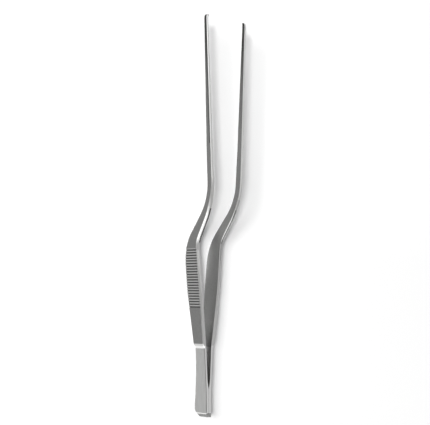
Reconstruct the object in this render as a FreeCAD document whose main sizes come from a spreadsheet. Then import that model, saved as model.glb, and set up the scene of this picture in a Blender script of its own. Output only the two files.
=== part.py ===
import FreeCAD, Part
import math
import os
import Sketcher

# Offset (bayonet) tissue forceps, lying on the back edges of its two handles.
# Body frame of every solid: +X from the heel towards the tips, Z = 0 along the back edges,
# +Z the way the shafts are offset, Y = 0 the plane between the two mirrored arms.

doc = FreeCAD.newDocument("tissue_forceps")

# Driving dimensions, in millimetres and degrees
SIZES = {
    # along the tool, measured from the end of the shorter leaf
    "tip_station": 200.0,
    "leaf_overhang": 1.6,
    "weld_length": 12.5,
    "flex_station": 22.0,
    "shoulder_station": 35.2,
    "grip_station": 62.0,
    # side outline: handle
    "heel_width": 8.7,
    "heel_flat": 4.6,
    "heel_corner": 1.5,
    "heel_front_corner": 0.75,
    "heel_back_radius": 20.0,
    "waist_back_station": 27.0,
    "waist_back_rise": 2.05,
    "waist_front_station": 34.0,
    "waist_front_height": 8.45,
    "waist_radius": 120.0,
    "grip_width": 9.25,
    # side outline: bayonet bend and shaft
    "neck_width": 8.8,
    "bend_back_station": 84.7,
    "bend_front_station": 86.0,
    "bend_back_radius": 27.0,
    "bend_front_radius": 14.0,
    "rise_back_angle": 38.65,
    "rise_front_angle": 32.0,
    "rise_back_radius": 25.0,
    "rise_front_radius": 41.0,
    "offset_height": 19.75,
    "shaft_width": 3.4,
    "tip_width": 1.7,
    # bow of each arm away from the middle plane
    "crotch_length": 4.0,
    "crotch_gap": 0.8,
    "crotch_radius": 20.0,
    "leaf_angle": 3.1,
    "grip_angle": 6.9,
    "neck_angle": 3.45,
    "shaft_angle": 2.6,
    "shoulder_radius": 60.0,
    "bow_station": 75.0,
    "bow_radius": 800.0,
    "sway_station": 130.0,
    "sway_radius": 200.0,
    # thickness
    "weld_leaf": 1.7,
    "leaf_thick": 1.25,
    "arm_thick": 2.3,
    "tip_thick": 1.3,
    "taper_station": 104.0,
    "shoulder_run": 2.0,
    "shoulder_fillet": 1.2,
    "bevel": 0.5,
    "tip_round": 0.6,
    # finger grooves on the outer faces
    "groove_station": 53.6,
    "groove_pitch": 1.37,
    "groove_depth": 0.35,
    "groove_width": 0.8,
    "groove_count": 22,
    # toothed jaws
    "serration_pitch": 0.8,
    "serration_depth": 0.15,
    "serration_width": 0.5,
    "serration_count": 16,
    "tooth_base": 1.5,
    "tooth_tip": 0.5,
    "tooth_height": 0.8,
    "tooth_width": 0.42,
    "tooth_gap": 0.66,
}

sheet = doc.addObject("Spreadsheet::Sheet", "Sizes")
for row, (alias, value) in enumerate(SIZES.items(), start=1):
    sheet.set(f"A{row}", alias)
    sheet.set(f"B{row}", str(value))
    sheet.setAlias(f"B{row}", alias)
doc.recompute()


def size(expression):
    """The value that an expression over the sheet has now."""
    value = sheet.evalExpression(expression)
    return float(getattr(value, "Value", value))


def tangent(angle):
    return f"tan(Sizes.{angle} * 1deg)"


# Lines of the side outline, as heights over stations
SHAFT_BACK = "(Sizes.offset_height - Sizes.shaft_width / 2)"
SHAFT_FRONT = "(Sizes.offset_height + Sizes.shaft_width / 2)"
TIP_BACK = "(Sizes.offset_height - Sizes.tip_width / 2)"
TIP_FRONT = "(Sizes.offset_height + Sizes.tip_width / 2)"
RISE_BACK_END = f"(Sizes.bend_back_station + {SHAFT_BACK} / {tangent('rise_back_angle')})"
RISE_FRONT_END = (
    f"(Sizes.bend_front_station + ({SHAFT_FRONT} - Sizes.neck_width) / {tangent('rise_front_angle')})"
)

# Lines of the bow, as distances from the middle plane over stations
CROTCH_END = "(Sizes.weld_length + Sizes.crotch_length)"
SHOULDER_FOOT = "(Sizes.shoulder_station - Sizes.shoulder_run)"
SHOULDER_MIDDLE = "(Sizes.shoulder_station - Sizes.shoulder_run / 2)"


def leaf_inner(station):
    return f"(Sizes.crotch_gap + ({station} - {CROTCH_END}) * {tangent('leaf_angle')})"


def leaf_outer(station):
    return f"({leaf_inner(station)} + Sizes.leaf_thick / cos(Sizes.leaf_angle * 1deg))"


def grip_inner(station):
    return f"({leaf_inner(SHOULDER_MIDDLE)} + ({station} - {SHOULDER_MIDDLE}) * {tangent('grip_angle')})"


def neck_inner(station):
    return f"({grip_inner('Sizes.bow_station')} + ({station} - Sizes.bow_station) * {tangent('neck_angle')})"


def shaft_inner(station):
    return (
        f"({neck_inner('Sizes.sway_station')}"
        f" + ({station} - Sizes.sway_station) * {tangent('shaft_angle')})"
    )


GRIP_OUTER_START = (
    f"({grip_inner('Sizes.shoulder_station')} + Sizes.arm_thick / cos(Sizes.grip_angle * 1deg))"
)
NECK_OUTER_END = (
    f"({neck_inner('Sizes.taper_station')} + Sizes.arm_thick / cos(Sizes.neck_angle * 1deg))"
)
TIP_INNER = shaft_inner("Sizes.tip_station")
TIP_OUTER = f"({TIP_INNER} + Sizes.tip_thick / cos(Sizes.shaft_angle * 1deg))"
BOW_MIDDLE = "((Sizes.grip_angle + Sizes.neck_angle) / 2 * 1deg)"
BOW_HALF = "((Sizes.grip_angle - Sizes.neck_angle) / 2 * 1deg)"
BOW_OUTER_RADIUS = "(Sizes.bow_radius + Sizes.arm_thick)"
BOW_OUTER_STATION = f"(Sizes.bow_station - Sizes.arm_thick * sin({BOW_MIDDLE}) / cos({BOW_HALF}))"
BOW_OUTER_REACH = (
    f"({grip_inner('Sizes.bow_station')} + Sizes.arm_thick * cos({BOW_MIDDLE}) / cos({BOW_HALF}))"
)
WELD_BEND = (
    f"({CROTCH_END} + (Sizes.weld_leaf - {leaf_outer(CROTCH_END)}) / {tangent('leaf_angle')})"
)
# centre of the arc that the handle bows along
BOW_CENTRE_STATION = f"(Sizes.bow_station + Sizes.bow_radius * sin({BOW_MIDDLE}) / cos({BOW_HALF}))"
BOW_CENTRE_REACH = (
    f"({grip_inner('Sizes.bow_station')} - Sizes.bow_radius * cos({BOW_MIDDLE}) / cos({BOW_HALF}))"
)

# How far cuts run past the blank, and half the slab that the blank is cut from
MARGIN = 5.0
REACH = 30.0
# How far a groove's cut stands out of the face that it cuts
CLEARANCE = 1.0
TOLERANCE = 1e-6


def origin_plane(body, role):
    return next(item for item in body.Origin.OriginFeatures if item.Role == role)


def add_sketch(body, name, role):
    sketch = body.newObject("Sketcher::SketchObject", name)
    sketch.AttachmentSupport = [(origin_plane(body, role), "")]
    sketch.MapMode = "FlatFace"
    return sketch


def fix_point(sketch, geometry, end, name, x_expression, y_expression):
    """Hold one point at its two named coordinates."""
    for kind, axis, expression in (("DistanceX", "x", x_expression), ("DistanceY", "y", y_expression)):
        index = sketch.addConstraint(Sketcher.Constraint(kind, geometry, end, size(expression)))
        sketch.renameConstraint(index, f"{name}_{axis}")
        sketch.setExpression(f"Constraints.{name}_{axis}", expression)


def corner_arc(before, corner, after, radius):
    """Where an arc of this radius leaves the two lines of a corner, the arc itself, and its turn."""
    back = (before - corner).normalize()
    ahead = (after - corner).normalize()
    half = back.getAngle(ahead) / 2
    run = radius / math.tan(half)
    bisector = (back + ahead).normalize()
    centre = corner + bisector * (radius / math.sin(half))
    first, last = corner + back * run, corner + ahead * run
    turns_left = ahead.cross(back).z > 0
    start, end = (first, last) if turns_left else (last, first)
    start_angle = math.atan2(start.y - centre.y, start.x - centre.x)
    end_angle = math.atan2(end.y - centre.y, end.x - centre.x)
    if end_angle < start_angle:
        end_angle += 2 * math.pi
    circle = Part.Circle(centre, FreeCAD.Vector(0, 0, 1), radius)
    return first, last, Part.ArcOfCircle(circle, start_angle, end_angle), turns_left


def draw_outline(sketch, name, corners):
    """Closed outline through the corners, each sharp or rounded by its radius."""
    points = [FreeCAD.Vector(size(x), size(y), 0) for x, y, _ in corners]
    count = len(corners)
    starts, ends = list(points), list(points)
    arcs = {}
    for i, (_, _, radius) in enumerate(corners):
        if radius is not None:
            after = points[(i + 1) % count]
            ends[i], starts[i], shape, turns_left = corner_arc(points[i - 1], points[i], after, size(radius))
            arcs[i] = (shape, turns_left)
    lines = [
        sketch.addGeometry(Part.LineSegment(starts[i], ends[(i + 1) % count]), False)
        for i in range(count)
    ]
    for i, (x_expression, y_expression, radius) in enumerate(corners):
        into, out_of = lines[i - 1], lines[i]
        if radius is None:
            sketch.addConstraint(Sketcher.Constraint("Coincident", into, 2, out_of, 1))
            fix_point(sketch, out_of, 1, f"{name}_{i}", x_expression, y_expression)
            continue
        shape, turns_left = arcs[i]
        arc = sketch.addGeometry(shape, False)
        corner = sketch.addGeometry(Part.Point(points[i]), True)
        first, last = (1, 2) if turns_left else (2, 1)
        sketch.addConstraint(Sketcher.Constraint("Tangent", into, 2, arc, first))
        sketch.addConstraint(Sketcher.Constraint("Tangent", out_of, 1, arc, last))
        sketch.addConstraint(Sketcher.Constraint("PointOnObject", corner, 1, into))
        sketch.addConstraint(Sketcher.Constraint("PointOnObject", corner, 1, out_of))
        fix_point(sketch, corner, 1, f"{name}_{i}", x_expression, y_expression)
        index = sketch.addConstraint(Sketcher.Constraint("Radius", arc, size(radius)))
        sketch.renameConstraint(index, f"{name}_{i}_radius")
        sketch.setExpression(f"Constraints.{name}_{i}_radius", radius)


def pad_side_outline(body):
    """The blank seen from the side, a slab through both arms."""
    sketch = add_sketch(body, "SideOutline", "XZ_Plane")
    heel_end = "-Sizes.leaf_overhang"
    draw_outline(sketch, "side", [
        (heel_end, "0", "Sizes.heel_corner"),
        ("Sizes.heel_flat", "0", "Sizes.heel_back_radius"),
        ("Sizes.waist_back_station", "Sizes.waist_back_rise", "Sizes.waist_radius"),
        ("Sizes.grip_station", "0", "Sizes.waist_radius"),
        ("Sizes.bend_back_station", "0", "Sizes.bend_back_radius"),
        (RISE_BACK_END, SHAFT_BACK, "Sizes.rise_back_radius"),
        ("Sizes.tip_station", TIP_BACK, None),
        ("Sizes.tip_station", TIP_FRONT, None),
        (RISE_FRONT_END, SHAFT_FRONT, "Sizes.rise_front_radius"),
        ("Sizes.bend_front_station", "Sizes.neck_width", "Sizes.bend_front_radius"),
        ("Sizes.grip_station", "Sizes.grip_width", "Sizes.waist_radius"),
        ("Sizes.waist_front_station", "Sizes.waist_front_height", "Sizes.waist_radius"),
        (heel_end, "Sizes.heel_width", "Sizes.heel_front_corner"),
    ])
    pad = body.newObject("PartDesign::Pad", "Blank")
    pad.Profile = sketch
    pad.Midplane = True
    pad.Length = 2 * REACH
    sketch.Visibility = False


def add_pocket(body, name, sketch, through=True):
    """Pocket from a sketch: through the whole solid both ways, or blind from the sketch's plane."""
    pocket = body.newObject("PartDesign::Pocket", name)
    pocket.Profile = sketch
    pocket.Midplane = through
    pocket.Type = 1 if through else 0
    sketch.Visibility = False
    return pocket


def cut_to_bow(body, corners):
    """Leave of the slab only what lies inside the outline seen from the front."""
    sketch = add_sketch(body, "BowOutline", "XY_Plane")
    edge = f"{MARGIN + REACH}"
    draw_outline(sketch, "frame", [
        (f"-Sizes.leaf_overhang - {MARGIN}", f"-{edge}", None),
        (f"Sizes.tip_station + {MARGIN}", f"-{edge}", None),
        (f"Sizes.tip_station + {MARGIN}", edge, None),
        (f"-Sizes.leaf_overhang - {MARGIN}", edge, None),
    ])
    draw_outline(sketch, "bow", corners)
    add_pocket(body, "BowCut", sketch)


def place_sketch(sketch, x_expression, y_expression, angle_expression):
    """Move a sketch to a point of its plane and turn it there about the plane's normal."""
    turn = FreeCAD.Rotation(FreeCAD.Vector(0, 0, 1), size(angle_expression))
    point = FreeCAD.Vector(size(x_expression), size(y_expression), 0)
    sketch.AttachmentOffset = FreeCAD.Placement(point, turn)
    sketch.setExpression("AttachmentOffset.Base.x", x_expression)
    sketch.setExpression("AttachmentOffset.Base.y", y_expression)
    sketch.setExpression("AttachmentOffset.Rotation.Angle", angle_expression)


def edge_names(shape, chosen):
    """Names of the edges between two faces that the test picks."""
    names = []
    for index, edge in enumerate(shape.Edges, start=1):
        faces = shape.ancestorsOfType(edge, Part.Face)
        if len(faces) == 2 and chosen(edge, *faces):
            names.append(f"Edge{index}")
    return names


def face_normal(face):
    u_min, u_max, v_min, v_max = face.ParameterRange
    return face.normalAt((u_min + u_max) / 2, (v_min + v_max) / 2)


def dress_edges(body, kind, name, chosen, amount):
    """Fillet or chamfer the edges that the test picks on the solid so far."""
    doc.recompute()
    base = body.Tip
    dressed = body.newObject(f"PartDesign::{kind}", name)
    dressed.Base = (base, edge_names(base.Shape, chosen))
    dressed.setExpression("Radius" if kind == "Fillet" else "Size", amount)
    return dressed


def set_in_row(body):
    """Bring the solid's frame to the middle of the whole tool's length."""
    body.setExpression("Placement.Base.x", "-(Sizes.tip_station - Sizes.leaf_overhang) / 2")


def build_heel():
    """The two spring leaves, welded face to face at the heel, up to where they flex."""
    body = doc.addObject("PartDesign::Body", "Heel")
    body.Label = "heel"
    pad_side_outline(body)
    cut = "Sizes.flex_station"
    bend = "Sizes.shoulder_radius"
    cut_to_bow(body, [
        ("-Sizes.leaf_overhang", "-Sizes.weld_leaf", None),
        (WELD_BEND, "-Sizes.weld_leaf", bend),
        (cut, f"-{leaf_outer(cut)}", None),
        (cut, f"-{leaf_inner(cut)}", None),
        (CROTCH_END, "-Sizes.crotch_gap", "Sizes.crotch_radius"),
        ("Sizes.weld_length", "0", None),
        (CROTCH_END, "Sizes.crotch_gap", "Sizes.crotch_radius"),
        (cut, leaf_inner(cut), None),
        (cut, leaf_outer(cut), None),
        (WELD_BEND, "Sizes.weld_leaf", bend),
        ("0", "Sizes.weld_leaf", None),
        ("0", "0", None),
        ("-Sizes.leaf_overhang", "0", None),
    ])

    def at_short_end(edge, first, second):
        ends = [vertex.Point for vertex in edge.Vertexes]
        level = len(ends) == 2 and abs(ends[0].z - ends[1].z) < TOLERANCE
        return level and all(abs(end.x) < TOLERANCE for end in ends)

    def at_short_back(edge, first, second):
        return at_short_end(edge, first, second) and edge.CenterOfMass.z < 1

    def at_short_front(edge, first, second):
        return at_short_end(edge, first, second) and edge.CenterOfMass.z > 1

    dress_edges(body, "Fillet", "ShortLeafBack", at_short_back, "Sizes.heel_corner")
    dress_edges(body, "Fillet", "ShortLeafFront", at_short_front, "Sizes.heel_front_corner")
    set_in_row(body)
    return body


def bevel_outer_edges(body, side):
    """Bevelled borders along the whole outer face, up to the rounded tip."""
    cut = size("Sizes.flex_station") + TOLERANCE

    def chosen(edge, first, second):
        outward = sorted(side * face_normal(face).y for face in (first, second))
        along = any(vertex.Point.x > cut for vertex in edge.Vertexes)
        return along and outward[1] > 0.9 and abs(outward[0]) < 0.3

    dress_edges(body, "Chamfer", "BevelledBorders", chosen, "Sizes.bevel")


def thin_leaf(body, side):
    """The spring leaf, thinned from outside, and the ramp of the shoulder where the handle starts."""
    sketch = add_sketch(body, "LeafOutline", "XY_Plane")
    start = f"(Sizes.flex_station - {MARGIN})"
    foot = leaf_outer(SHOULDER_FOOT)
    corners = [
        (start, leaf_outer(start), None),
        (SHOULDER_FOOT, foot, "Sizes.shoulder_fillet"),
        ("Sizes.shoulder_station + Sizes.shoulder_run", f"(2 * {GRIP_OUTER_START} - {foot})", None),
        (start, f"(2 * {GRIP_OUTER_START} - {foot})", None),
    ]
    draw_outline(sketch, "leaf", [(x, f"{side} * {y}", radius) for x, y, radius in corners])
    add_pocket(body, "ThinnedLeaf", sketch)


def cut_finger_grooves(body, side):
    """Cross grooves that follow the bow of the grip, one pitch apart along its arc."""
    sketch = add_sketch(body, "FingerGroove", "XY_Plane")
    turn = f"asin(({BOW_CENTRE_STATION} - Sizes.groove_station) / {BOW_OUTER_RADIUS})"
    place_sketch(sketch, BOW_CENTRE_STATION, f"{side} * {BOW_CENTRE_REACH}", f"{side} * {turn}")
    half = f"Sizes.groove_width / 2 * (1 + {CLEARANCE} / Sizes.groove_depth)"
    draw_outline(sketch, "groove", [
        ("0", f"{side} * ({BOW_OUTER_RADIUS} - Sizes.groove_depth)", None),
        (half, f"{side} * ({BOW_OUTER_RADIUS} + {CLEARANCE})", None),
        (f"-{half}", f"{side} * ({BOW_OUTER_RADIUS} + {CLEARANCE})", None),
    ])
    pocket = add_pocket(body, "Groove", sketch)
    doc.recompute()
    pattern = body.newObject("PartDesign::PolarPattern", "FingerGrooves")
    pattern.Originals = [pocket]
    pattern.Axis = (sketch, ["N_Axis"])
    pattern.Reversed = side > 0
    pattern.setExpression("Occurrences", "Sizes.groove_count")
    sweep = f"(Sizes.groove_count - 1) * Sizes.groove_pitch / {BOW_OUTER_RADIUS} * 180 / pi"
    pattern.setExpression("Angle", sweep)
    body.Tip = pattern


def cut_serrations(body, side):
    """Fine cross serrations on the inner face of the jaw, behind the teeth."""
    sketch = add_sketch(body, "Serration", "XY_Plane")
    start = "(Sizes.tip_station - Sizes.tooth_base - Sizes.serration_count * Sizes.serration_pitch)"
    place_sketch(sketch, start, f"{side} * {shaft_inner(start)}", f"{side} * Sizes.shaft_angle")
    half = f"Sizes.serration_width / 2 * (1 + {CLEARANCE} / Sizes.serration_depth)"
    draw_outline(sketch, "serration", [
        ("0", f"{side} * Sizes.serration_depth", None),
        (half, f"-{side} * {CLEARANCE}", None),
        (f"-{half}", f"-{side} * {CLEARANCE}", None),
    ])
    pocket = add_pocket(body, "Serrated", sketch)
    doc.recompute()
    pattern = body.newObject("PartDesign::LinearPattern", "Serrations")
    pattern.Originals = [pocket]
    pattern.Direction = (sketch, ["H_Axis"])
    pattern.setExpression("Occurrences", "Sizes.serration_count")
    pattern.setExpression("Length", "(Sizes.serration_count - 1) * Sizes.serration_pitch")
    body.Tip = pattern


def cut_teeth(body, side):
    """One tooth between two: the left tip keeps its sides, the right tip keeps its middle."""
    sketch = add_sketch(body, "ToothGaps", "XZ_Plane")
    root = "Sizes.tip_station - Sizes.tooth_base"
    end = f"Sizes.tip_station + {MARGIN}"
    middle = "Sizes.offset_height"
    if side > 0:
        gaps = [(f"{middle} - Sizes.tooth_gap / 2", f"{middle} + Sizes.tooth_gap / 2")]
    else:
        gaps = [
            (f"{TIP_BACK} - {MARGIN}", f"{middle} - Sizes.tooth_width / 2"),
            (f"{middle} + Sizes.tooth_width / 2", f"{TIP_FRONT} + {MARGIN}"),
        ]
    for number, (low, high) in enumerate(gaps):
        draw_outline(sketch, f"gap{number}", [
            (root, low, None), (end, low, None), (end, high, None), (root, high, None),
        ])
    pocket = add_pocket(body, "Teeth", sketch, through=False)
    pocket.Reversed = side < 0
    pocket.setExpression("Length", shaft_inner(root))


def build_arm(label, side):
    """One arm from its flexing leaf to the toothed tip; side is +1 for left and -1 for right."""
    body = doc.addObject("PartDesign::Body", label.title().replace("_", ""))
    body.Label = label
    pad_side_outline(body)
    cut = "Sizes.flex_station"
    tooth_point = f"({TIP_INNER} - Sizes.tooth_height)"
    tooth_root = "Sizes.tip_station - Sizes.tooth_base"
    corners = [
        (cut, leaf_inner(cut), None),
        (SHOULDER_MIDDLE, leaf_inner(SHOULDER_MIDDLE), "Sizes.shoulder_radius"),
        ("Sizes.bow_station", grip_inner("Sizes.bow_station"), "Sizes.bow_radius"),
        ("Sizes.sway_station", neck_inner("Sizes.sway_station"), "Sizes.sway_radius"),
        (tooth_root, shaft_inner(f"({tooth_root})"), None),
        ("Sizes.tip_station - Sizes.tooth_tip", tooth_point, None),
        ("Sizes.tip_station", tooth_point, None),
        ("Sizes.tip_station", TIP_OUTER, "Sizes.tip_round"),
        ("Sizes.taper_station", NECK_OUTER_END, "Sizes.sway_radius"),
        (BOW_OUTER_STATION, BOW_OUTER_REACH, BOW_OUTER_RADIUS),
        (cut, f"({GRIP_OUTER_START} - (Sizes.shoulder_station - {cut}) * {tangent('grip_angle')})", None),
    ]
    cut_to_bow(body, [(x, f"{side} * {y}", radius) for x, y, radius in corners])
    bevel_outer_edges(body, side)
    thin_leaf(body, side)
    cut_finger_grooves(body, side)
    cut_serrations(body, side)
    cut_teeth(body, side)
    set_in_row(body)
    return body


pieces = [build_heel(), build_arm("left_arm", 1), build_arm("right_arm", -1)]
doc.recompute()

for item in doc.Objects:
    if {"Invalid", "Error"} & set(item.State):
        raise RuntimeError(f"{item.Name} failed: {item.State}")

os.makedirs("parts", exist_ok=True)
for piece in pieces:
    shape = piece.Shape
    if shape.isNull() or not shape.isValid() or len(shape.Solids) != 1:
        raise RuntimeError(f"{piece.Label} is not one valid solid")
    piece.Shape.exportStep(f"parts/{piece.Label}.step")
    print(piece.Label, f"{piece.Shape.Volume:.1f} mm3", piece.Shape.BoundBox)
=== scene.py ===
import bpy
import math
import numpy as np
from mathutils import Matrix, Vector


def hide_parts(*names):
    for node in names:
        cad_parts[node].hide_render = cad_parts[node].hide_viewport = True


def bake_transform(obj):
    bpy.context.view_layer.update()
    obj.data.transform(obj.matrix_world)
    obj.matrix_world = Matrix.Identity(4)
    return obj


# Offset (bayonet) tissue forceps in satin stainless steel, lying on the back edges of its handles.
# Stations are millimetres along the tool from the end of the shorter leaf, heights are above the floor,
# and a bow is a distance from the middle plane between the two arms.

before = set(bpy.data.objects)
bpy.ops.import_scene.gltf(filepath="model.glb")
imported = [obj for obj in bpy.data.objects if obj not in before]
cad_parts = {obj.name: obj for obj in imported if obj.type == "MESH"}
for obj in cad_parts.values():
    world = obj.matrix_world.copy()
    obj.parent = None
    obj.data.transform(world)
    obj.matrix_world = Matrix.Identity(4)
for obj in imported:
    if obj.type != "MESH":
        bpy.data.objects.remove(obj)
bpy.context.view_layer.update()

MM = 0.001
TIP = 200.0
OVERHANG = 1.6
MIDDLE = (TIP - OVERHANG) / 2


def linear(hex_colour):
    """An sRGB hex colour as linear red, green, blue and alpha."""
    channels = [int(hex_colour[i:i + 2], 16) / 255 for i in (1, 3, 5)]
    return [c / 12.92 if c <= 0.04045 else ((c + 0.055) / 1.055) ** 2.4 for c in channels] + [1.0]


# Outlines

ARC_POINTS = 14


def rounded(corners):
    """Points of a line from corner to corner, each inner corner rounded by an arc of its radius."""
    places = np.array([corner[:2] for corner in corners], float)
    points = [places[0]]
    for i in range(1, len(corners) - 1):
        radius = corners[i][2]
        if not radius:
            points.append(places[i])
            continue
        back, ahead = places[i - 1] - places[i], places[i + 1] - places[i]
        back, ahead = back / np.linalg.norm(back), ahead / np.linalg.norm(ahead)
        half = math.acos(float(np.clip(back @ ahead, -1, 1))) / 2
        middle = (back + ahead) / np.linalg.norm(back + ahead)
        centre = places[i] + middle * radius / math.sin(half)
        swing = math.pi / 2 - half
        across = back - (back @ middle) * middle
        across = across / np.linalg.norm(across)
        for turn in np.linspace(swing, -swing, ARC_POINTS):
            points.append(centre + radius * (across * math.sin(turn) - middle * math.cos(turn)))
    points.append(places[-1])
    return np.array(points)


def tan_of(degrees):
    return math.tan(math.radians(degrees))


def cos_of(degrees):
    return math.cos(math.radians(degrees))


# Side outline
SHAFT_AXIS, SHAFT_WIDTH, TIP_WIDTH = 19.75, 3.4, 1.7
HEEL_WIDTH, NECK_WIDTH, GRIP_WIDTH = 8.7, 8.8, 9.25
BACK_RISE = 84.7 + (SHAFT_AXIS - SHAFT_WIDTH / 2) / tan_of(38.65)
HEEL_BACK_ROUND, HEEL_FRONT_ROUND = 2.8, 0.4
FRONT_RISE = 86.0 + (SHAFT_AXIS + SHAFT_WIDTH / 2 - NECK_WIDTH) / tan_of(32.0)


def back_outline(end):
    return rounded([
        (end, 4.0, 0), (end, 0, HEEL_BACK_ROUND), (4.6, 0, 20), (27, 2.05, 120), (62, 0, 120), (84.7, 0, 27),
        (BACK_RISE, SHAFT_AXIS - SHAFT_WIDTH / 2, 25), (TIP, SHAFT_AXIS - TIP_WIDTH / 2, 0),
    ])


def front_outline(end):
    return rounded([
        (end, 4.0, 0), (end, HEEL_WIDTH, HEEL_FRONT_ROUND), (34, 8.45, 120), (62, GRIP_WIDTH, 120),
        (86, NECK_WIDTH, 14), (FRONT_RISE, SHAFT_AXIS + SHAFT_WIDTH / 2, 41),
        (TIP, SHAFT_AXIS + TIP_WIDTH / 2, 0),
    ])


# Bow of an arm
WELD_END, CROTCH_END, CROTCH_GAP = 12.5, 16.5, 0.8
SHOULDER, SHOULDER_RUN = 35.2, 2.0
BOW, TAPER, SWAY = 75.0, 104.0, 130.0
LEAF_ANGLE, GRIP_ANGLE, NECK_ANGLE, SHAFT_ANGLE = 3.1, 6.9, 3.45, 2.6
WELD_LEAF, LEAF_THICK, ARM_THICK, TIP_THICK = 1.7, 1.25, 2.3, 1.3
TOOTH_BASE, TOOTH_TIP, TOOTH_HEIGHT = 1.5, 0.5, 0.8

# The beak: its length, how far outside the jaw face it ends, and how much it narrows at the front and back.
# It ends outside the root of the teeth, so the gap for the tooth stays open and the jaws close.
BEAK_RUN, BEAK_END, BEAK_NARROWING = 2.4, 0.06, 0.32


def leaf_inner(station):
    return CROTCH_GAP + (station - CROTCH_END) * tan_of(LEAF_ANGLE)


def leaf_outer(station):
    return leaf_inner(station) + LEAF_THICK / cos_of(LEAF_ANGLE)


SHOULDER_MIDDLE = SHOULDER - SHOULDER_RUN / 2
SHOULDER_INNER = leaf_inner(SHOULDER_MIDDLE)
BOW_INNER = SHOULDER_INNER + (BOW - SHOULDER_MIDDLE) * tan_of(GRIP_ANGLE)
SWAY_INNER = BOW_INNER + (SWAY - BOW) * tan_of(NECK_ANGLE)
TIP_INNER = SWAY_INNER + (TIP - SWAY) * tan_of(SHAFT_ANGLE)
TAPER_OUTER = BOW_INNER + (TAPER - BOW) * tan_of(NECK_ANGLE) + ARM_THICK / cos_of(NECK_ANGLE)
SHOULDER_OUTER = (
    SHOULDER_INNER + (SHOULDER - SHOULDER_MIDDLE) * tan_of(GRIP_ANGLE) + ARM_THICK / cos_of(GRIP_ANGLE)
)
BOW_TURN = (GRIP_ANGLE + NECK_ANGLE) / 2
BOW_SHARE = ARM_THICK / cos_of((GRIP_ANGLE - NECK_ANGLE) / 2)
BOW_OUTER = (BOW - BOW_SHARE * math.sin(math.radians(BOW_TURN)), BOW_INNER + BOW_SHARE * cos_of(BOW_TURN))
WELD_BEND = CROTCH_END + (WELD_LEAF - leaf_outer(CROTCH_END)) / tan_of(LEAF_ANGLE)
SHOULDER_FOOT = SHOULDER - SHOULDER_RUN

INNER_LINE = rounded([
    (-OVERHANG, 0, 0), (WELD_END, 0, 0), (CROTCH_END, CROTCH_GAP, 20), (SHOULDER_MIDDLE, SHOULDER_INNER, 60),
    (BOW, BOW_INNER, 800), (SWAY, SWAY_INNER, 200), (TIP, TIP_INNER, 0),
])
OUTER_LINE = rounded([
    (-OVERHANG, WELD_LEAF, 0), (WELD_BEND, WELD_LEAF, 60), (SHOULDER_FOOT, leaf_outer(SHOULDER_FOOT), 1.2),
    (SHOULDER, SHOULDER_OUTER, 0.5), (*BOW_OUTER, 802.3), (TAPER, TAPER_OUTER, 200),
    (TIP, TIP_INNER + TIP_THICK, 0),
])


def height_over(line, stations):
    return np.interp(stations, line[:, 0], line[:, 1])


def slope_over(line, stations):
    """How steeply a line rises, read over a short run so that an end stays finite."""
    run = 0.05
    return (height_over(line, stations + run) - height_over(line, stations - run)) / (2 * run)


# Bevels and breaks, along the tool: widths are heights on a side face, depths are taken from the thickness.
# The front bevel is wide and deep on the bayonet bend, where it shows as a bright strip.
BEVEL_STATIONS = [33.6, 35.4, 49.0, 56.0, 84.0, 95.0, 105.0, 118.0, 130.0, 190.0, 200.0]
FRONT_BEVEL_WIDTHS = [0.20, 0.25, 0.30, 0.70, 0.55, 0.50, 0.42, 0.20, 0.12, 0.10, 0.06]
BACK_BEVEL_WIDTHS = [0.20, 0.25, 0.30, 0.15, 0.15, 0.60, 0.45, 0.28, 0.12, 0.10, 0.06]
BEVEL_DEPTHS = [0.20, 0.25, 0.35, 1.20, 1.45, 1.38, 1.10, 0.45, 0.25, 0.20, 0.10]
LEFT_INNER_BREAKS = [0.10, 0.12, 0.12, 0.12, 0.10, 0.08, 0.08, 0.12, 0.15, 0.12, 0.10]
RIGHT_INNER_BREAKS = [0.10, 0.12, 0.12, 0.12, 0.20, 0.30, 0.28, 0.16, 0.15, 0.12, 0.10]
BEVEL_SHARES = [0.0, 0.12, 0.3, 0.5, 0.7, 0.88, 1.0]
EDGE_SHARES = [0.35, 0.7, 1.0]
BEVEL_CROWN = 0.12
MOST_BEVEL_DEPTH, MOST_BEVEL_WIDTH, MOST_BREAK = 0.65, 0.3, 0.3
MOST_BACK_BREAK = 0.14
LEAST_THICK = 0.1
END_BREAK, END_BREAK_SLOPE = 0.5, 0.5

# Finger grooves and jaw serrations
GROOVE_START, GROOVE_PITCH, GROOVE_COUNT = 53.7, 1.365, 22
GROOVE_WIDTH, GROOVE_DEPTH = 0.8, 0.35
GROOVE_SHAPE = [(-0.5, 0.0), (-0.42, 0.1), (-0.1, 0.92), (0.0, 1.0), (0.1, 0.92), (0.42, 0.1), (0.5, 0.0)]
SERRATION_PITCH, SERRATION_COUNT, SERRATION_WIDTH, SERRATION_DEPTH = 0.8, 16, 0.5, 0.15
SERRATION_SHAPE = [(-0.5, 0.0), (0.0, 1.0), (0.5, 0.0)]
TOOTH_GAP, TOOTH_WIDTH, WALL = 0.66, 0.42, 0.02

# The columns of the jaw face move from the middle of the section to the middle of the jaw over this run
JAW_TURN_START, JAW_TURN_RUN = 150.0, 30.0


def profile(centres, width, depth, shape):
    """Stations and depths of a row of cuts across a face."""
    stations = [centre + share * width for centre in centres for share, _ in shape]
    depths = [depth * share for _ in centres for _, share in shape]
    return np.array(stations), np.array(depths)


def spread(low, high, step):
    return np.linspace(low, high, max(2, int(round((high - low) / step)) + 1))


def eased(low, high, count):
    """Stations that crowd towards the high end, for a corner that turns square to the tool."""
    return high - (high - low) * (1 - np.sin(np.linspace(0, math.pi / 2, count)))


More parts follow.
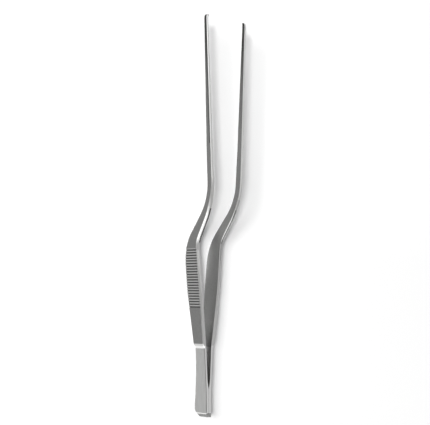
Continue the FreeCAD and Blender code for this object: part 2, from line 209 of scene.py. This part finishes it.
GROOVES = profile(
    [GROOVE_START + i * GROOVE_PITCH for i in range(GROOVE_COUNT)], GROOVE_WIDTH, GROOVE_DEPTH, GROOVE_SHAPE
)
JAW_START = TIP - TOOTH_BASE - SERRATION_COUNT * SERRATION_PITCH
SERRATIONS = profile(
    [JAW_START + i * SERRATION_PITCH for i in range(SERRATION_COUNT)],
    SERRATION_WIDTH, SERRATION_DEPTH, SERRATION_SHAPE,
)


# Rings between the heel corner and the jaws: from, to and step, closer together where the outline turns
RING_RUNS = [
    (WELD_END - 0.5, CROTCH_END + 1, 0.25), (CROTCH_END + 1, 32.5, 0.5), (32.5, 36.4, 0.12), (36.4, 53.0, 0.6),
    (82.8, 110, 0.4), (110, JAW_START - 0.5, 1.2),
]
HEEL_STEP, CORNER_RINGS, LEAST_STEP = 0.8, 18, 0.004


def ring_stations(end):
    heel_corner = end + HEEL_BACK_ROUND
    parts = [
        end + heel_corner - eased(end, heel_corner, CORNER_RINGS),
        spread(heel_corner, WELD_END - 0.5, HEEL_STEP),
        *[spread(*run) for run in RING_RUNS],
        GROOVES[0],
        SERRATIONS[0],
        [TIP - TOOTH_BASE],
        eased(TIP - TOOTH_BASE + 0.1, TIP, CORNER_RINGS),
    ]
    stations = np.unique(np.round(np.concatenate(parts), 4))
    keep = np.concatenate([[True], np.diff(stations) > LEAST_STEP])
    return stations[keep]


# Finishes of the faces, in the order of the materials on each half. Some paint light and shade: a painted
# highlight, a painted highlight on the lands between the grooves, inner faces lightened between the handles
# against their shade, and painted shade.
FACE_SATIN, FACE_BRUSHED, FACE_EDGE, FACE_RIDGE_PAINTED_HIGHLIGHT, FACE_PAINTED_HIGHLIGHT, FACE_INSIDE, FACE_SHADE = range(7)

# A section runs through the outer face, the front bevel, the flat front edge, the inner face and back
OUTER_COLUMNS = 7
FRONT_EDGE_START = OUTER_COLUMNS + len(BEVEL_SHARES) - 2
FRONT_EDGE = range(FRONT_EDGE_START, FRONT_EDGE_START + len(EDGE_SHARES))
FRONT_SIDE = range(OUTER_COLUMNS - 3, OUTER_COLUMNS - 1)

# Where the finish changes along the tool, and where the painted highlights and painted shade lie
RAMP_START, RAMP_END = SHOULDER_FOOT - 0.3, SHOULDER_FOOT + 1.0
LEAF_END = SHOULDER_FOOT + 0.4
PAINTED_SHADE_BEND_START, PAINTED_SHADE_BEND_END = 86.0, 103.0
PAINTED_HIGHLIGHT_LINE_START, PAINTED_HIGHLIGHT_LINE_END = 84.0, 108.0
PAINTED_SHADE_SHAFT_START = 135.0
LAND_START, LAND_END = GROOVES[0][0], GROOVES[0][-1] + 0.5
FLAT_LAND = 0.01


def face_finish(side, end, station, number, own, cuts):
    """The finish of one face of a half.

    own is the finish of the strip that it lies in, and cuts are the groove depths at its two rings.
    """
    outside = number < OUTER_COLUMNS
    on_edge = number in FRONT_EDGE
    # Painted highlights on the break at the end of each leaf and on the shoulder ramp
    if outside and station < end + END_BREAK:
        return FACE_PAINTED_HIGHLIGHT
    if number <= FRONT_EDGE[-1] and RAMP_START < station < RAMP_END:
        return FACE_PAINTED_HIGHLIGHT
    if outside and SHOULDER_FOOT < station < SHOULDER:
        return FACE_EDGE
    # The inner face of the longer leaf, where it stands out past the shorter one, in painted shade
    if station < 0 and own == FACE_INSIDE:
        return FACE_INSIDE
    # The leaves, brushed, with a painted highlight on their front edges
    if station < LEAF_END:
        return FACE_PAINTED_HIGHLIGHT if on_edge and station > END_BREAK else FACE_BRUSHED
    # Painted shade on the front side of the outer face of a shaft
    if station > PAINTED_SHADE_SHAFT_START and number in FRONT_SIDE:
        return FACE_SHADE
    # A thin painted highlight beside the inner face, on the right bend
    if side < 0 and PAINTED_HIGHLIGHT_LINE_START < station < PAINTED_HIGHLIGHT_LINE_END and number == FRONT_EDGE[-1]:
        return FACE_PAINTED_HIGHLIGHT
    # Painted shade on the flat front edge of the bends
    if on_edge and PAINTED_SHADE_BEND_START < station < PAINTED_SHADE_BEND_END:
        return FACE_SHADE
    # Painted shade on the outside of the beaks
    if outside and station > TIP - BEAK_RUN:
        return FACE_SHADE
    # Painted highlight on the front edge of the right shaft
    if side < 0 and station > PAINTED_HIGHLIGHT_LINE_END and OUTER_COLUMNS - 1 <= number <= FRONT_EDGE[-1]:
        return FACE_PAINTED_HIGHLIGHT
    # Painted highlight on the lands between the finger grooves
    if outside and LAND_START < station < LAND_END and max(cuts) < FLAT_LAND:
        return FACE_RIDGE_PAINTED_HIGHLIGHT
    # Painted shade in the floors of the grooves
    if outside and cuts[0] > 0.5 * GROOVE_DEPTH:
        return FACE_SHADE
    return own


def half_section(side, end, stations):
    """The columns of a half, their finishes, and the depths of the grooves.

    A column is a distance from the middle plane and a height, each with one value per ring.
    """
    back_line, front_line = back_outline(end), front_outline(end)
    back, front = height_over(back_line, stations), height_over(front_line, stations)
    back_slope, front_slope = slope_over(back_line, stations), slope_over(front_line, stations)
    inner, outer = height_over(INNER_LINE, stations), height_over(OUTER_LINE, stations)
    outer -= END_BREAK_SLOPE * np.clip(END_BREAK - (stations - end), 0, None)

    beak = np.clip((stations - TIP + BEAK_RUN) / BEAK_RUN, 0, 1)
    drawn_in = 1 - np.sqrt(1 - beak ** 2)
    outer -= (TIP_THICK - BEAK_END) * drawn_in
    back += BEAK_NARROWING * drawn_in
    front -= BEAK_NARROWING * drawn_in
    back[stations <= end], front[stations <= end] = HEEL_BACK_ROUND, HEEL_WIDTH - HEEL_FRONT_ROUND

    def along(values):
        return np.interp(stations, BEVEL_STATIONS, values)

    # Bevels and breaks, never more than a share of the metal that is there
    thick = np.maximum(outer - inner, LEAST_THICK)
    depth = np.minimum(along(BEVEL_DEPTHS), MOST_BEVEL_DEPTH * thick)
    limit = MOST_BEVEL_WIDTH * (front - back)
    back_width = np.minimum(along(BACK_BEVEL_WIDTHS) * np.sqrt(1 + np.minimum(back_slope ** 2, 1)), limit)
    front_width = np.minimum(along(FRONT_BEVEL_WIDTHS) * np.sqrt(1 + np.minimum(front_slope ** 2, 1)), limit)
    broken = np.minimum(along(LEFT_INNER_BREAKS if side > 0 else RIGHT_INNER_BREAKS), MOST_BREAK * thick)
    back_broken = np.minimum(broken, MOST_BACK_BREAK)

    # The cuts, with each tooth as long as in the solids
    groove = np.interp(stations, *GROOVES)
    serration = np.interp(stations, *SERRATIONS)
    root = np.interp(TIP - TOOTH_BASE, INNER_LINE[:, 0], INNER_LINE[:, 1])
    reach = root - (TIP_INNER - TOOTH_HEIGHT)
    tooth = reach * np.clip((stations - TIP + TOOTH_BASE) / (TOOTH_BASE - TOOTH_TIP), 0, 1)
    inside = inner + serration * (tooth <= 0)

    def inner_y(has_tooth):
        face = np.where(tooth > 0, root - tooth * has_tooth, inside)
        return np.minimum(face, outer - LEAST_THICK)

    columns = []
    kinds = []

    def add_column(distance, height, kind):
        columns.append((distance, height))
        kinds.append(kind)

    def add_bevel(edge, span, order, direction):
        """A bevel, a little crowned, between the outer face and an edge face."""
        for share in order:
            crown = BEVEL_CROWN * share * (1 - share)
            distance = outer - depth * np.clip(share - crown, 0, 1)
            height = edge - direction * span * np.clip(1 - share - crown, 0, 1)
            add_column(np.minimum(distance, outer - groove), height, FACE_EDGE)

    def add_edge(edge, border_break, order):
        """The flat edge face between a bevel and the inner face."""
        low, high = outer - depth, np.minimum(inner_y(border) + border_break, outer - depth)
        for share in order:
            add_column(low + (high - low) * share, edge, FACE_EDGE)

    # Outer face, from back to front
    low, high = back + back_width, front - front_width
    for share in np.linspace(0, 1, OUTER_COLUMNS):
        add_column(outer - groove, low + (high - low) * share, FACE_SATIN)
    kinds[-1] = FACE_EDGE

    # Front bevel and edge. The borders of the left tip are its two teeth, and the right tooth stands between.
    border = 1 if side > 0 else 0
    add_bevel(front, front_width, BEVEL_SHARES[1:], 1)
    add_edge(front, broken, EDGE_SHARES)

    # Inner face, from front to back, with the teeth or the tooth
    half_middle = (TOOTH_GAP if side > 0 else TOOTH_WIDTH) / 2
    steps = [(half_middle + WALL, border), (half_middle, 1 - border), (0.0, 1 - border),
             (-half_middle, 1 - border), (-half_middle - WALL, border)]
    near_tip = np.clip((stations - JAW_TURN_START) / JAW_TURN_RUN, 0, 1)
    centre = (1 - near_tip) * (back + front) / 2 + near_tip * SHAFT_AXIS
    add_column(inner_y(border), front - broken, FACE_INSIDE)
    for offset, has_tooth in steps:
        add_column(inner_y(has_tooth), centre + offset, FACE_INSIDE)
    add_column(inner_y(border), back + back_broken, FACE_EDGE)

    # Back edge and bevel
    add_edge(back, back_broken, EDGE_SHARES[::-1])
    add_bevel(back, back_width, BEVEL_SHARES[:0:-1], -1)
    return columns, kinds, groove


CREASE_DEGREES = 28


def build_half(name, side, end):
    """One forged half from its leaf end to its toothed tip; side is +1 for left and -1 for right."""
    stations = ring_stations(end)
    columns, kinds, groove = half_section(side, end, stations)
    count = len(columns)
    vertices = np.zeros((len(stations), count, 3))
    for number, (distance, height) in enumerate(columns):
        vertices[:, number, 0] = stations - MIDDLE
        vertices[:, number, 1] = side * distance
        vertices[:, number, 2] = height

    faces = []
    finishes = []
    for ring in range(len(stations) - 1):
        station = (stations[ring] + stations[ring + 1]) / 2
        cuts = (groove[ring], groove[ring + 1])
        for number in range(count):
            after = (number + 1) % count
            quad = [ring * count + number, ring * count + after,
                    (ring + 1) * count + after, (ring + 1) * count + number]
            faces.append(quad if side > 0 else quad[::-1])
            finishes.append(face_finish(side, end, station, number, kinds[number], cuts))
    first = list(range(count))
    last = [(len(stations) - 1) * count + number for number in range(count)]
    faces.append(first[::-1] if side > 0 else first)
    faces.append(last if side > 0 else last[::-1])
    # Painted shade on the heel end cap; the tip end cap is satin
    finishes += [FACE_SHADE, FACE_SATIN]

    mesh = bpy.data.meshes.new(name)
    mesh.from_pydata((vertices.reshape(-1, 3) * MM).tolist(), [], faces)
    mesh.polygons.foreach_set("material_index", finishes)
    mesh.polygons.foreach_set("use_smooth", [True] * len(faces))
    mesh.update()
    mesh.set_sharp_from_angle(angle=math.radians(CREASE_DEGREES))
    half = bpy.data.objects.new(name, mesh)
    bpy.context.scene.collection.objects.link(half)
    return half


# Materials

def add_node(tree, kind, settings=(), links=()):
    """Add one node, set its properties and sockets by name, and link its inputs from other nodes' outputs."""
    node = tree.nodes.new(kind)
    for name, value in dict(settings).items():
        if name in node.inputs:
            node.inputs[name].default_value = value
        else:
            setattr(node, name, value)
    for name, source in dict(links).items():
        tree.links.new(source, node.inputs[name])
    return node


def new_material(name):
    material = bpy.data.materials.new(name)
    material.use_nodes = True
    tree = material.node_tree
    tree.nodes.clear()
    return material, tree


def finish_material(tree, surface):
    add_node(tree, "ShaderNodeOutputMaterial", links={"Surface": surface.outputs[0]})


def steel(name, tones, darker, roughness, grain_mm, stretch, grain_depth):
    """Stainless steel with a fine grain, stretched along the tool where it was brushed that way.

    tones lists stations and the colour there, and darker is the share of it that the grain's dark spots keep.
    Blasting and belt grinding leave marks of 0.03 to 0.1 mm, too fine for the render, so the grain is drawn at
    0.3 mm or a little more.
    """
    material, tree = new_material(name)
    place = add_node(tree, "ShaderNodeTexCoord")
    squeeze = add_node(
        tree, "ShaderNodeMapping", {"Scale": (1 / stretch, 1, 1)}, {"Vector": place.outputs["Object"]}
    )
    grain = add_node(
        tree, "ShaderNodeTexNoise", {"Scale": 1 / (grain_mm * MM), "Detail": 3.0, "Roughness": 0.6},
        {"Vector": squeeze.outputs[0]},
    )
    spots = add_node(
        tree, "ShaderNodeMapRange", {"From Min": 0.3, "From Max": 0.7, "To Min": darker},
        {"Value": grain.outputs["Fac"]},
    )
    parts = add_node(tree, "ShaderNodeSeparateXYZ", links={"Vector": place.outputs["Object"]})
    along = add_node(
        tree, "ShaderNodeMapRange", {"From Min": -MIDDLE * MM, "From Max": (TIP - MIDDLE) * MM},
        {"Value": parts.outputs["X"]},
    )
    tone = add_node(tree, "ShaderNodeValToRGB", links={"Fac": along.outputs[0]})
    elements = tone.color_ramp.elements
    elements[0].position, elements[0].color = tones[0][0] / TIP, linear(tones[0][1])
    elements[1].position, elements[1].color = tones[-1][0] / TIP, linear(tones[-1][1])
    for station, colour in tones[1:-1]:
        elements.new(station / TIP).color = linear(colour)
    spotted = add_node(
        tree, "ShaderNodeVectorMath", {"operation": "SCALE"},
        {"Vector": tone.outputs["Color"], "Scale": spots.outputs[0]},
    )
    bump = add_node(
        tree, "ShaderNodeBump", {"Strength": 0.4, "Distance": grain_depth * MM},
        {"Height": grain.outputs["Fac"]},
    )
    surface = add_node(
        tree, "ShaderNodeBsdfPrincipled", {"Metallic": 1.0, "Roughness": roughness},
        {"Base Color": spotted.outputs["Vector"], "Normal": bump.outputs["Normal"]},
    )
    finish_material(tree, surface)
    return material


def even(colour):
    return [(0.0, colour), (TIP, colour)]


# Blasted faces get darker towards the tips, as painted shade
SHAFT_TONES_PAINTED_SHADE = [(140.0, "#828281"), (168.0, "#747473"), (186.0, "#50504f"), (TIP, "#484847")]
BLASTED = {"darker": 0.82, "roughness": 0.45, "grain_mm": 0.35, "stretch": 2, "grain_depth": 0.01}

# Glass-bead blasted faces of the arms: a dull grey that spreads every reflection, with painted shade towards
# the tips
satin_steel = steel("satin_blasted_stainless_steel", [(0.0, "#828281"), *SHAFT_TONES_PAINTED_SHADE], **BLASTED)
# Inner faces: lighter between the handles, a painted lift against the shade there; darker where the longer
# leaf stands out, as painted shade
inside_painted_light_steel = steel(
    "inner_stainless_steel_painted_light_and_shade",
    [(0.0, "#a0a09f"), (34.0, "#8e8e8d"), (46.0, "#c6c6c5"), (74.0, "#c0c0bf"), (90.0, "#9c9c9b"),
     (100.0, "#828281"), *SHAFT_TONES_PAINTED_SHADE],
    **BLASTED,
)
# Painted shade, darker still towards the tips: front side of the shafts, flat front edge of the bends, beaks,
# floors of the grooves and ends of the leaves
painted_shade_steel = steel(
    "painted_shade_stainless_steel",
    [(0.0, "#5c5c5b"), (168.0, "#5c5c5b"), (186.0, "#4a4a49"), (TIP, "#444443")],
    **BLASTED,
)
# Spring leaves, brushed lengthwise: brighter, with fine drawn lines
brushed_steel = steel("brushed_stainless_steel", even("#b1b1b0"), 0.82, 0.32, 0.30, 30, 0.01)
# Front and back edges and bevels, ground on a belt: brighter than the faces, and a little glossier
ground_steel = steel("ground_edge_stainless_steel", even("#cfcfce"), 0.88, 0.34, 0.30, 10, 0.01)
# Lands between the finger grooves, lighter as a painted highlight: a soft shine
ridge_painted_highlight_steel = steel("ridge_painted_highlight_stainless_steel", even("#acacab"), 0.84, 0.34, 0.30, 1, 0.01)
# Painted highlight, nearly white: shoulder ramps, breaks at the ends of the leaves, the front edges of the
# leaves and of the right shaft, and a thin line on the right bend
painted_highlight_steel = steel("painted_highlight_stainless_steel", even("#f0f0ef"), 0.86, 0.28, 0.30, 1, 0.01)

FINISHES = (satin_steel, brushed_steel, ground_steel, ridge_painted_highlight_steel, painted_highlight_steel, inside_painted_light_steel, painted_shade_steel)

left_half = build_half("left_half", 1, 0.0)
right_half = build_half("right_half", -1, -OVERHANG)
for half in (left_half, right_half):
    for material in FINISHES:
        half.data.materials.append(material)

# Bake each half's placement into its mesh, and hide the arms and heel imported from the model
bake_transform(left_half)
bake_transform(right_half)
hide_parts("left_arm", "heel")
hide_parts("right_arm")


# Stage: pale floor, soft light and camera

# Metres: half the side of the floor, and how far it lies below the tool
FLOOR_HALF_SIDE, FLOOR_DROP = 3.0, 0.00002

# Floor under the handles and under the shafts, mixed between these stations
HANDLES_END, SHAFTS_START = 80, 120
PAINT = {"To Min": 0.70, "To Max": 0.97}
LIFT = {"To Min": 0.26, "To Max": 0.0}

# Room: its greys by height, the dim corner up on the left, and its share of the light on the floor
ROOM_LOW, ROOM_MIDDLE, ROOM_TOP = (0.25, "#5a5a5a"), (0.65, "#e0e0e0"), (0.95, "#b4b4b4")
DIM_CORNER = (0.0, 0.707, 0.707)
DIM_CORNER_FADE = {"From Min": 0.8, "From Max": 0.97, "To Min": 1.0, "To Max": 0.25}
ROOM_ON_FLOOR = 0.2


def build_floor():
    """Plain pale floor, white where no shadow lies.

    Under the handles the paint is darker, and a glow that only the camera, mirrors and glass get makes up for
    it. So the shadow is softer there, and the inner faces of the handles still mirror a pale floor.
    """
    mesh = bpy.data.meshes.new("floor")
    side = FLOOR_HALF_SIDE
    corners = [(-side, -side), (side, -side), (side, side), (-side, side)]
    mesh.from_pydata([(x, y, -FLOOR_DROP) for x, y in corners], [], [(0, 1, 2, 3)])
    floor = bpy.data.objects.new("floor", mesh)
    bpy.context.scene.collection.objects.link(floor)
    material, tree = new_material("pale_floor")
    place = add_node(tree, "ShaderNodeTexCoord")
    parts = add_node(tree, "ShaderNodeSeparateXYZ", links={"Vector": place.outputs["Object"]})
    span = {"From Min": (HANDLES_END - MIDDLE) * MM, "From Max": (SHAFTS_START - MIDDLE) * MM}
    whiteness = add_node(tree, "ShaderNodeMapRange", {**span, **PAINT}, {"Value": parts.outputs["X"]})
    paint = add_node(tree, "ShaderNodeBsdfDiffuse", links={"Color": whiteness.outputs[0]})
    lift = add_node(tree, "ShaderNodeMapRange", {**span, **LIFT}, {"Value": parts.outputs["X"]})
    glow = add_node(tree, "ShaderNodeEmission", links={"Strength": lift.outputs[0]})
    path = add_node(tree, "ShaderNodeLightPath")
    seen = add_node(tree, "ShaderNodeMath", {"operation": "MAXIMUM"})
    tree.links.new(path.outputs["Is Camera Ray"], seen.inputs[0])
    tree.links.new(path.outputs["Is Glossy Ray"], seen.inputs[1])
    shown = add_node(tree, "ShaderNodeMath", {"operation": "MAXIMUM"})
    tree.links.new(seen.outputs[0], shown.inputs[0])
    tree.links.new(path.outputs["Is Transmission Ray"], shown.inputs[1])
    lifted = add_node(tree, "ShaderNodeAddShader")
    tree.links.new(paint.outputs[0], lifted.inputs[0])
    tree.links.new(glow.outputs[0], lifted.inputs[1])
    surface = add_node(tree, "ShaderNodeMixShader", links={"Fac": shown.outputs[0]})
    tree.links.new(paint.outputs[0], surface.inputs[1])
    tree.links.new(lifted.outputs[0], surface.inputs[2])
    finish_material(tree, surface)
    mesh.materials.append(material)


def build_world():
    """A pale room, greyer near the floor line and overhead, with one dim corner for the metal to mirror."""
    world = bpy.data.worlds.new("studio")
    world.use_nodes = True
    tree = world.node_tree
    tree.nodes.clear()
    place = add_node(tree, "ShaderNodeTexCoord")
    parts = add_node(tree, "ShaderNodeSeparateXYZ", links={"Vector": place.outputs["Generated"]})
    shade = add_node(tree, "ShaderNodeValToRGB", links={"Fac": parts.outputs["Z"]})
    elements = shade.color_ramp.elements
    for element, (height, grey) in zip(elements, (ROOM_LOW, ROOM_TOP)):
        element.position, element.color = height, linear(grey)
    elements.new(ROOM_MIDDLE[0]).color = linear(ROOM_MIDDLE[1])
    facing = add_node(
        tree, "ShaderNodeVectorMath", {"operation": "DOT_PRODUCT"}, {"Vector": place.outputs["Generated"]}
    )
    facing.inputs[1].default_value = DIM_CORNER
    corner = add_node(tree, "ShaderNodeMapRange", DIM_CORNER_FADE, {"Value": facing.outputs["Value"]})
    path = add_node(tree, "ShaderNodeLightPath")
    softer = add_node(
        tree, "ShaderNodeMapRange", {"To Min": 1.0, "To Max": ROOM_ON_FLOOR},
        {"Value": path.outputs["Is Diffuse Ray"]},
    )
    strength = add_node(tree, "ShaderNodeMath", {"operation": "MULTIPLY"})
    tree.links.new(corner.outputs[0], strength.inputs[0])
    tree.links.new(softer.outputs[0], strength.inputs[1])
    back = add_node(
        tree, "ShaderNodeBackground", links={"Color": shade.outputs["Color"], "Strength": strength.outputs[0]}
    )
    add_node(tree, "ShaderNodeOutputWorld", links={"Surface": back.outputs[0]})
    bpy.context.scene.world = world


def add_lamp(name, towards, distance, size, watts, mirrored, on_floor):
    """A square soft box that looks at the middle of the tool from a direction."""
    data = bpy.data.lights.new(name, "AREA")
    data.shape = "SQUARE"
    data.size = size
    data.energy = watts
    lamp = bpy.data.objects.new(name, data)
    direction = Vector(towards).normalized()
    lamp.location = direction * distance
    lamp.rotation_mode = "QUATERNION"
    lamp.rotation_quaternion = (-direction).to_track_quat("-Z", "Y")
    lamp.visible_glossy = mirrored
    lamp.visible_diffuse = on_floor
    bpy.context.scene.collection.objects.link(lamp)


build_floor()
build_world()

# Two soft boxes far off on the left cast the shadows, and two close ones are only mirrored by the metal
add_lamp("key_soft_box", (-0.05, 1.0, 0.84), 9.0, 1.0, 760.0, False, True)
add_lamp("low_soft_box", (0.1, 1.0, 0.62), 9.0, 1.7, 590.0, False, True)
add_lamp("foot_soft_box", (-0.85, 0.25, 0.5), 1.0, 1.0, 6.2, True, False)
add_lamp("head_soft_box", (0.5, -0.15, 0.85), 1.0, 0.8, 5.0, True, False)

# Camera: looks down at 45 degrees from the left side of the tool
CAMERA_DISTANCE, CAMERA_LENS = 562.1, 92.79
CAMERA_RISE, CAMERA_TILT, CAMERA_ROLL = math.radians(44.99), math.radians(-4.29), math.radians(-0.19)
AIM = Vector((101.5 - MIDDLE, 0, 12.6))

towards = Vector((
    math.sin(CAMERA_TILT),
    math.cos(CAMERA_TILT) * math.cos(CAMERA_RISE),
    math.cos(CAMERA_TILT) * math.sin(CAMERA_RISE),
))
along = Vector((1, 0, 0))
up = (along - along.dot(towards) * towards).normalized()
right = up.cross(towards)
up, right = (
    up * math.cos(CAMERA_ROLL) + right * math.sin(CAMERA_ROLL),
    right * math.cos(CAMERA_ROLL) - up * math.sin(CAMERA_ROLL),
)
camera_data = bpy.data.cameras.new("camera")
camera_data.sensor_fit = "HORIZONTAL"
camera_data.sensor_width = 36.0
camera_data.lens = CAMERA_LENS
camera_data.clip_start = 0.01
camera = bpy.data.objects.new("camera", camera_data)
turned = Matrix((right, up, towards)).transposed().to_4x4()
camera.matrix_world = Matrix.Translation((AIM + towards * CAMERA_DISTANCE) * MM) @ turned
bpy.context.scene.collection.objects.link(camera)
bpy.context.scene.camera = camera

bpy.context.scene.view_settings.view_transform = "Standard"
